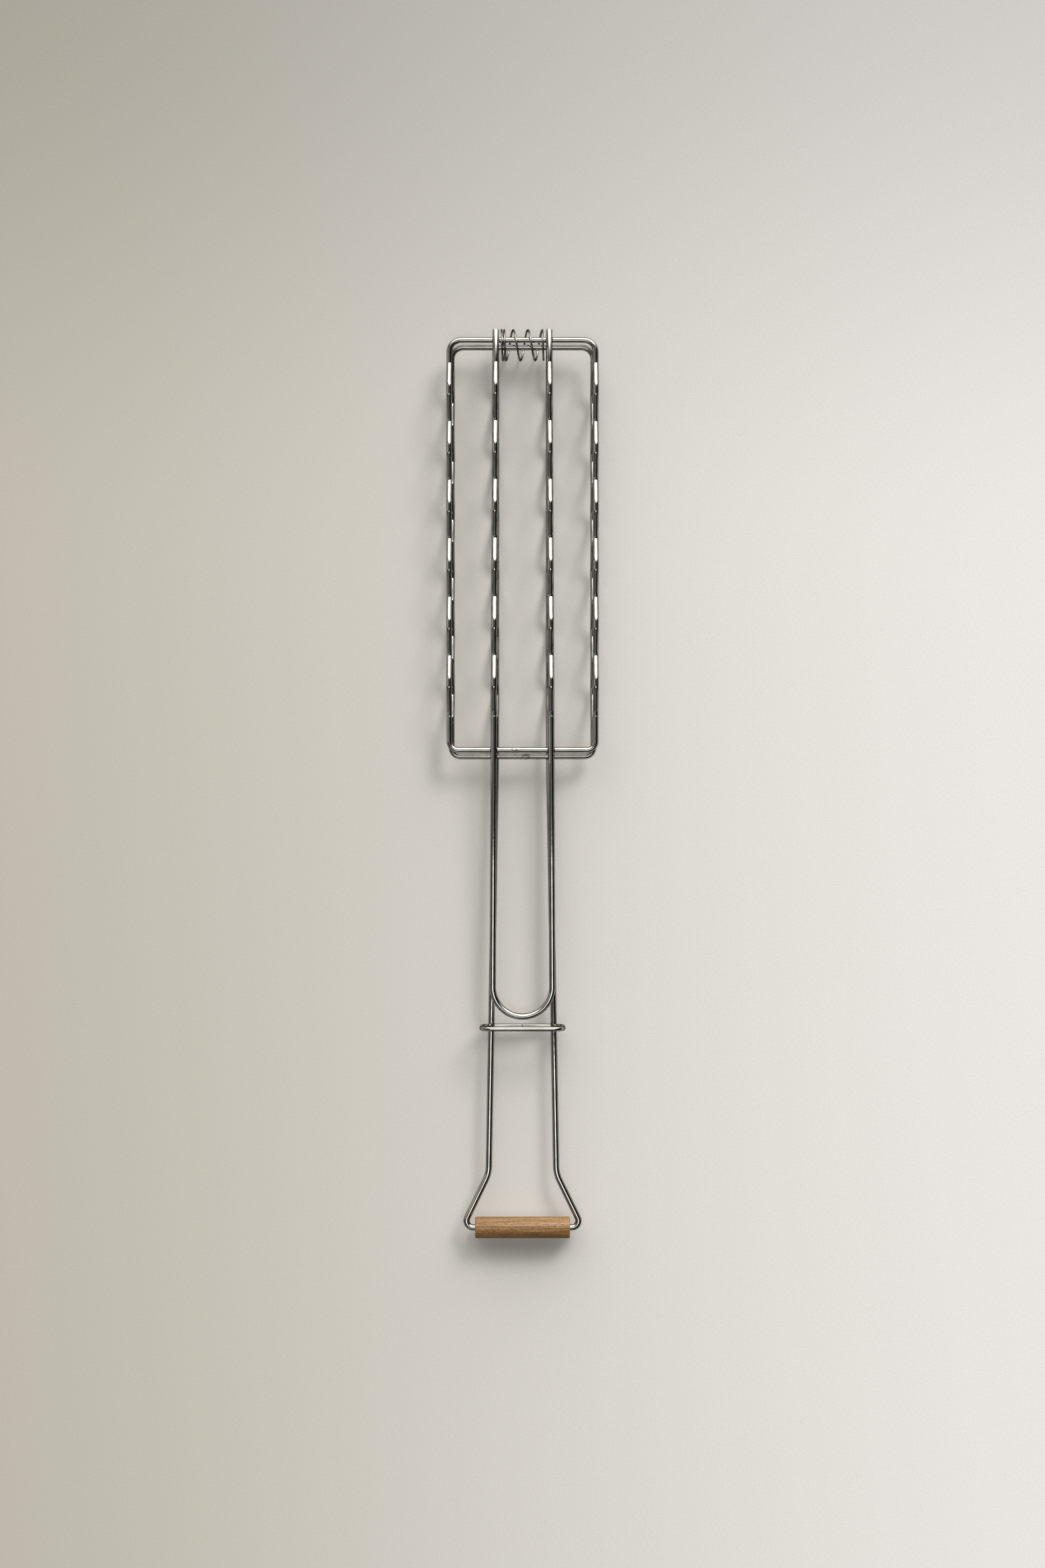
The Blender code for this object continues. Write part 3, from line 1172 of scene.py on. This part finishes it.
@dataclass
class LockingRing:
    """The oval wire ring that slides along the handles."""

    sizes: Sizes
    bender: Bender
    finishes: Finishes
    joint_pinch: float = 0.86
    joint_reach: float = 0.35 * MM

    def build(self) -> list[Piece]:
        """Builds and dresses the ring, with the pinched joint in its lower bar.

        Returns:
            The ring alone.
        """
        s = self.sizes
        neck_y = s.lower_neck_y - s.ring_neck_place
        stack = s.upper_handle_z(neck_y) - s.lower_handle_z(neck_y)
        half_height = stack / 2 + s.bar_wire / 2 + s.ring_clearance + s.ring_wire / 2
        half_width = s.u_offset + s.bar_wire / 2 + s.ring_side_gap + s.ring_wire / 2
        centre = Vector((0.0, s.ring_y, s.lower_handle_z(s.ring_y) + stack / 2))
        corners = [
            (centre + Vector((x * half_width, 0.0, z * half_height)), s.ring_corner_radius)
            for x, z in ((1, 1), (1, -1), (-1, -1), (-1, 1))
        ]
        points = self.bender.rounded(corners, closed=True)
        joint = WireMark(centre - Vector((0.0, 0.0, half_height)), self.joint_reach, self.joint_pinch)
        ring = self.bender.bend("oval_locking_ring", points, s.ring_wire, closed=True, marks=[joint])
        dress(ring, self.finishes.wire, Body.RING, Slot.WIRE, "locking_ring")
        return [ring]


@dataclass
class WoodenGrip:
    """The turned dowel on the end of the long handle."""

    sizes: Sizes
    finishes: Finishes
    sides: int = 96
    ease_steps: int = 5
    end_facing: float = 0.9
    rim_slack: float = 0.01 * MM
    smooth_angle: float = radians(35.0)

    def build(self) -> list[Piece]:
        """Builds and dresses the bored dowel with eased ends.

        Returns:
            The grip alone.
        """
        s = self.sizes
        radius = s.grip_diameter / 2
        bpy.ops.object.select_all(action="DESELECT")
        bpy.ops.mesh.primitive_cylinder_add(
            vertices=self.sides,
            radius=radius,
            depth=s.grip_length,
            location=(0.0, s.grip_y, s.grip_z),
            rotation=(0.0, pi / 2, 0.0),
        )
        grip = bpy.context.object
        grip.name = "turned_grip"
        bpy.ops.object.transform_apply(location=True, rotation=True, scale=True)
        bpy.ops.object.mode_set(mode="EDIT")
        bpy.ops.mesh.select_mode(type="FACE")
        self._select(grip, lambda face: abs(face.normal.x) > self.end_facing)
        bpy.ops.mesh.inset(thickness=radius - s.grip_bore, use_even_offset=True)
        bpy.ops.mesh.bridge_edge_loops()
        bpy.ops.mesh.select_mode(type="EDGE")
        self._select_rims(grip, s.grip_length / 2 - self.rim_slack, radius - self.rim_slack)
        bpy.ops.mesh.bevel(offset=s.grip_ease, segments=self.ease_steps, affect="EDGES")
        bpy.ops.mesh.select_all(action="SELECT")
        bpy.ops.mesh.normals_make_consistent(inside=False)
        bpy.ops.object.mode_set(mode="OBJECT")
        bpy.ops.object.shade_smooth_by_angle(angle=self.smooth_angle)
        dress(grip, self.finishes.wood, Body.GRIP, Slot.WOOD, "wooden_grip")
        return [grip]

    @staticmethod
    def _select(piece: Piece, wanted: Callable[[bmesh.types.BMFace], bool]) -> None:
        """Selects the faces that a test picks, in edit mode.

        Args:
            piece: The piece being edited.
            wanted: The test.
        """
        bpy.ops.mesh.select_all(action="DESELECT")
        bm = bmesh.from_edit_mesh(piece.data)
        for face in bm.faces:
            face.select_set(wanted(face))
        bmesh.update_edit_mesh(piece.data)

    def _select_rims(self, piece: Piece, rim_x: float, rim_radius: float) -> None:
        """Selects the outer edge of both ends, in edit mode.

        Args:
            piece: The piece being edited.
            rim_x: Distance along X beyond which an edge is at an end.
            rim_radius: Distance from the axis beyond which it is outside.
        """
        s = self.sizes
        bpy.ops.mesh.select_all(action="DESELECT")
        bm = bmesh.from_edit_mesh(piece.data)
        for edge in bm.edges:
            ends = [v.co for v in edge.verts]
            far = all(abs(p.x) > rim_x for p in ends)
            outer = all(Vector((0.0, p.y - s.grip_y, p.z - s.grip_z)).length > rim_radius for p in ends)
            edge.select_set(far and outer)
        bmesh.update_edit_mesh(piece.data)


@dataclass(frozen=True)
class Softbox:
    """A rectangular studio lamp, which faces straight down unless it has an aim.

    Attributes:
        name: The lamp's name.
        place: Its middle.
        size: Its width and its length.
        watts: Its power.
        aim: The point that it faces.
        seen: Whether the camera sees its face.
    """

    name: str
    place: tuple[float, float, float]
    size: tuple[float, float]
    watts: float
    aim: tuple[float, float, float] | None = None
    seen: bool = True

    def build(self) -> None:
        """Adds the lamp to the scene."""
        lamp = bpy.data.lights.new(self.name, "AREA")
        lamp.shape = "RECTANGLE"
        lamp.size, lamp.size_y = self.size
        lamp.energy = self.watts
        holder = bpy.data.objects.new(self.name, lamp)
        holder.location = self.place
        if self.aim is not None:
            way = Vector(self.aim) - Vector(self.place)
            holder.rotation_euler = way.to_track_quat("-Z", "Y").to_euler()
        holder.visible_camera = self.seen
        bpy.context.collection.objects.link(holder)


KEY = Softbox("key", (2.95, 5.3, 4.75), (2.6, 2.1), 260.0, aim=(0.0, 0.0, 0.0))
STRIP = Softbox("overhead_strip", (0.02, -0.53, 2.5), (1.4, 0.5), 5.6)
PANEL = Softbox("left_panel", (-1.4, 0.45, 0.75), (1.0, 1.0), 2.2, aim=(0.0, 0.45, 0.4), seen=False)


@dataclass
class Studio:
    """Floor, light and camera, as the photograph has them."""

    finishes: Finishes
    floor_size: float = 160.0
    picture: tuple[int, int] = (1568, 2352)
    metres_per_pixel: float = 0.0004
    focus_z: float = 0.0158
    distance: float = 1.6
    aim: tuple[float, float] = (0.0, -0.0002)
    sensor: float = 36.0
    lamps: tuple[Softbox, ...] = (KEY, STRIP, PANEL)
    side_way: tuple[float, float, float] = (-0.95, 0.0, 0.31)
    side_levels: tuple[tuple[float, float], ...] = (
        (0.02, 0.012),
        (0.3, 0.02),
        (0.45, 0.045),
        (0.56, 0.09),
        (0.61, 0.2),
        (0.65, 0.46),
        (0.72, 0.3),
        (0.8, 0.17),
        (0.95, 0.12),
    )
    far_way: tuple[float, float, float] = (0.08, 0.93, 0.36)
    far_levels: tuple[tuple[float, float], ...] = ((0.78, 0.0), (0.84, 0.6), (0.89, 2.5), (0.94, 3.1))
    horizon: str = "#b5b2ab"
    horizon_rise: tuple[float, float] = (0.025, 0.07)
    warmth: float = 0.98

    def build(self) -> None:
        """Builds the floor, the lamps, the world and the camera."""
        self._floor()
        for lamp in self.lamps:
            lamp.build()
        self._world()
        self._camera()
        bpy.context.scene.view_settings.view_transform = "Standard"

    def _floor(self) -> None:
        """A large sheet of pale paper."""
        bpy.ops.object.select_all(action="DESELECT")
        bpy.ops.mesh.primitive_plane_add(size=self.floor_size, location=(0.0, 0.0, 0.0))
        floor = bpy.context.object
        floor.name = "floor"
        floor.data.materials.append(self.finishes.paper)

    def _world(self) -> None:
        """A room, bright beyond the hinge end, dim on the left, dark on the right and pale at its foot."""
        world = bpy.data.worlds.new("studio_room")
        world.use_nodes = True
        bpy.context.scene.world = world
        tree = world.node_tree
        way = add_node(tree, "TexCoord").outputs["Generated"]
        side = self._zone(tree, way, self.side_way, self.side_levels)
        far = self._zone(tree, way, self.far_way, self.far_levels)
        room = add_node(tree, "VectorMath", {"operation": "ADD"}, {0: side, 1: far}).outputs["Vector"]
        up = add_node(tree, "SeparateXYZ", None, {"Vector": way}).outputs["Z"]
        rise = between(tree, up, self.horizon_rise)
        foot = {"data_type": "RGBA", 6: linear(self.horizon)}
        seen = add_node(tree, "Mix", foot, {0: rise, 7: room}).outputs[2]
        tree.links.new(seen, tree.nodes["Background"].inputs["Color"])

    def _zone(
        self,
        tree: Tree,
        way: Socket,
        middle: tuple[float, float, float],
        levels: Sequence[tuple[float, float]],
    ) -> Socket:
        """Adds a light level that changes with the angle from one direction.

        Args:
            tree: The world's nodes.
            way: The direction looked in.
            middle: The direction from which the angle counts.
            levels: Pairs of a share, 0 opposite to that direction and 1 along it, and the level there.

        Returns:
            The socket with the level as a colour.
        """
        facing = add_node(tree, "VectorMath", {"operation": "DOT_PRODUCT", 1: middle}, {0: way})
        share = between(tree, facing.outputs["Value"], (-1.0, 1.0))
        stops = [(place, (level, level, level * self.warmth, 1.0)) for place, level in levels]
        return ramp(tree, share, stops)

    def _camera(self) -> None:
        """A camera straight above, framed as the photograph."""
        camera = bpy.data.cameras.new("camera")
        camera.sensor_width = self.sensor
        camera.lens = self.sensor * self.distance / (max(self.picture) * self.metres_per_pixel)
        camera.dof.use_dof = False
        holder = bpy.data.objects.new("camera", camera)
        holder.location = (*self.aim, self.focus_z + self.distance)
        bpy.context.collection.objects.link(holder)
        bpy.context.scene.camera = holder


def main() -> None:
    """Builds the dressed basket in its studio."""
    logging.basicConfig(level=logging.INFO, format="%(name)s: %(message)s")
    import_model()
    sizes = Sizes()
    finishes = Finishes.build()
    bender = Bender(sizes)
    welder = Welder(sizes, finishes.weld)
    assemblies = (
        LowerGrid(sizes, bender, welder, finishes),
        UpperGrid(sizes, bender, welder, finishes),
        HingeSpring(sizes, bender, finishes),
        LockingRing(sizes, bender, finishes),
        WoodenGrip(sizes, finishes),
    )
    for assembly in assemblies:
        for piece in assembly.build():
            LOG.info("%s: %d faces", piece.name, len(piece.data.polygons))
    Studio(finishes).build()


if __name__ == "__main__":
    main()
